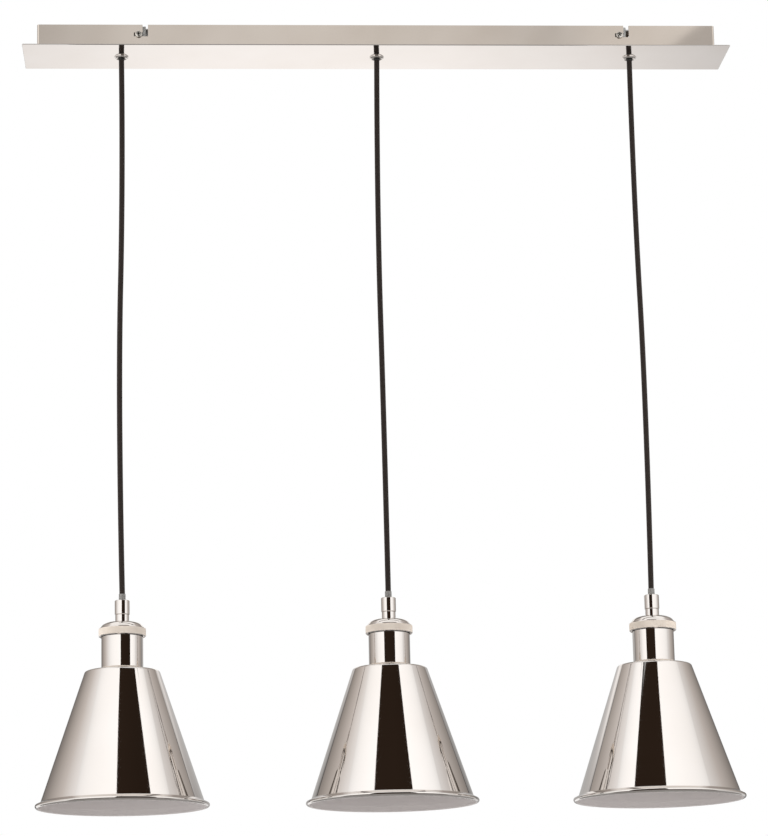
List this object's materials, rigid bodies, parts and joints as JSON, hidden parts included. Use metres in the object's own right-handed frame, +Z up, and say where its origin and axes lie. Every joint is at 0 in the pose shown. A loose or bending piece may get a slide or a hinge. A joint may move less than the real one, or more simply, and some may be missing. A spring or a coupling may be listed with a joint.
{
  "type": "linear island pendant",
  "caption": "Flat bar canopy on a ceiling bracket, with cone-shaped metal shades in a row on cloth-covered cords, each with a turned lamp holder.",
  "frame": {"origin": "on the ceiling plane, over the middle lamp, at the middle of the ceiling strap's two slots", "axes": "X along the row of lamps, Y from the front to the back, +Z up to the ceiling"},
  "size_m": [0.8, 0.187, 0.8751],
  "materials": {
    "polished_nickel": "polished nickel plate",
    "satin_nickel": "satin nickel plate",
    "zinc_steel": "bright zinc-plated steel",
    "brass": "turned brass",
    "nickel_screw": "nickel-plated steel",
    "black_nylon": "moulded nylon, matt",
    "clear_nylon": "moulded natural nylon",
    "white_nylon": "moulded nylon, matt",
    "black_cloth": "woven sleeve over a three-core cord",
    "brown_pvc": "extruded wire sheath",
    "blue_pvc": "extruded wire sheath",
    "green_pvc": "extruded wire sheath, green and yellow",
    "black_bakelite": "moulded phenolic"
  },
  "bodies": {
    "bracket": {"ceiling_bracket": "zinc_steel", "side_screws": "nickel_screw"},
    "canopy": {"canopy_box": "satin_nickel", "canopy_plate": "polished_nickel", "cord_eyelets": "polished_nickel", "eyelet_nuts": "zinc_steel", "cord_grips": "white_nylon", "grip_screws": "zinc_steel", "fixed_cords": "black_cloth", "live_wires": "brown_pvc", "neutral_wires": "blue_pvc", "earth_wires": "green_pvc", "terminal_block": "white_nylon", "terminal_screws": "zinc_steel", "earth_screw": "brass", "earth_lug": "brass"},
    "bush_left": {"cord_bush_left": "black_nylon"},
    "pendant_left": {"cord_left": "black_cloth", "clamp_collet_left": "clear_nylon", "clamp_cap_left": "polished_nickel", "clamp_base_left": "polished_nickel", "holder_cap_left": "polished_nickel", "holder_skirt_left": "polished_nickel", "socket_body_left": "black_bakelite", "screw_shell_left": "brass", "centre_contact_left": "brass", "shade_ring_left": "black_bakelite", "shade_left": "polished_nickel"},
    "bush_middle": {"cord_bush_middle": "black_nylon"},
    "pendant_middle": {"cord_middle": "black_cloth", "clamp_collet_middle": "clear_nylon", "clamp_cap_middle": "polished_nickel", "clamp_base_middle": "polished_nickel", "holder_cap_middle": "polished_nickel", "holder_skirt_middle": "polished_nickel", "socket_body_middle": "black_bakelite", "screw_shell_middle": "brass", "centre_contact_middle": "brass", "shade_ring_middle": "black_bakelite", "shade_middle": "polished_nickel"},
    "bush_right": {"cord_bush_right": "black_nylon"},
    "pendant_right": {"cord_right": "black_cloth", "clamp_collet_right": "clear_nylon", "clamp_cap_right": "polished_nickel", "clamp_base_right": "polished_nickel", "holder_cap_right": "polished_nickel", "holder_skirt_right": "polished_nickel", "socket_body_right": "black_bakelite", "screw_shell_right": "brass", "centre_contact_right": "brass", "shade_ring_right": "black_bakelite", "shade_right": "polished_nickel"}
  },
  "joints": [
    {"name": "canopy_shift", "type": "slide", "parent": "bracket", "child": "canopy", "axis": [1, 0, 0], "range_m": [-0.0075, 0.003]},
    {"name": "tilt_left", "type": "hinge", "parent": "canopy", "child": "bush_left", "pos_m": [-0.29, 0, -0.0285], "axis": [1, 0, 0], "range_deg": [-25, 25]},
    {"name": "swing_left", "type": "hinge", "parent": "bush_left", "child": "pendant_left", "pos_m": [-0.29, 0, -0.0285], "axis": [0, 1, 0], "range_deg": [-6.5, 25]},
    {"name": "tilt_middle", "type": "hinge", "parent": "canopy", "child": "bush_middle", "pos_m": [0, 0, -0.0285], "axis": [1, 0, 0], "range_deg": [-25, 25]},
    {"name": "swing_middle", "type": "hinge", "parent": "bush_middle", "child": "pendant_middle", "pos_m": [0, 0, -0.0285], "axis": [0, 1, 0], "range_deg": [-6.5, 6.5]},
    {"name": "tilt_right", "type": "hinge", "parent": "canopy", "child": "bush_right", "pos_m": [0.29, 0, -0.0285], "axis": [1, 0, 0], "range_deg": [-25, 25]},
    {"name": "swing_right", "type": "hinge", "parent": "bush_right", "child": "pendant_right", "pos_m": [0.29, 0, -0.0285], "axis": [0, 1, 0], "range_deg": [-25, 6.5]}
  ]
}
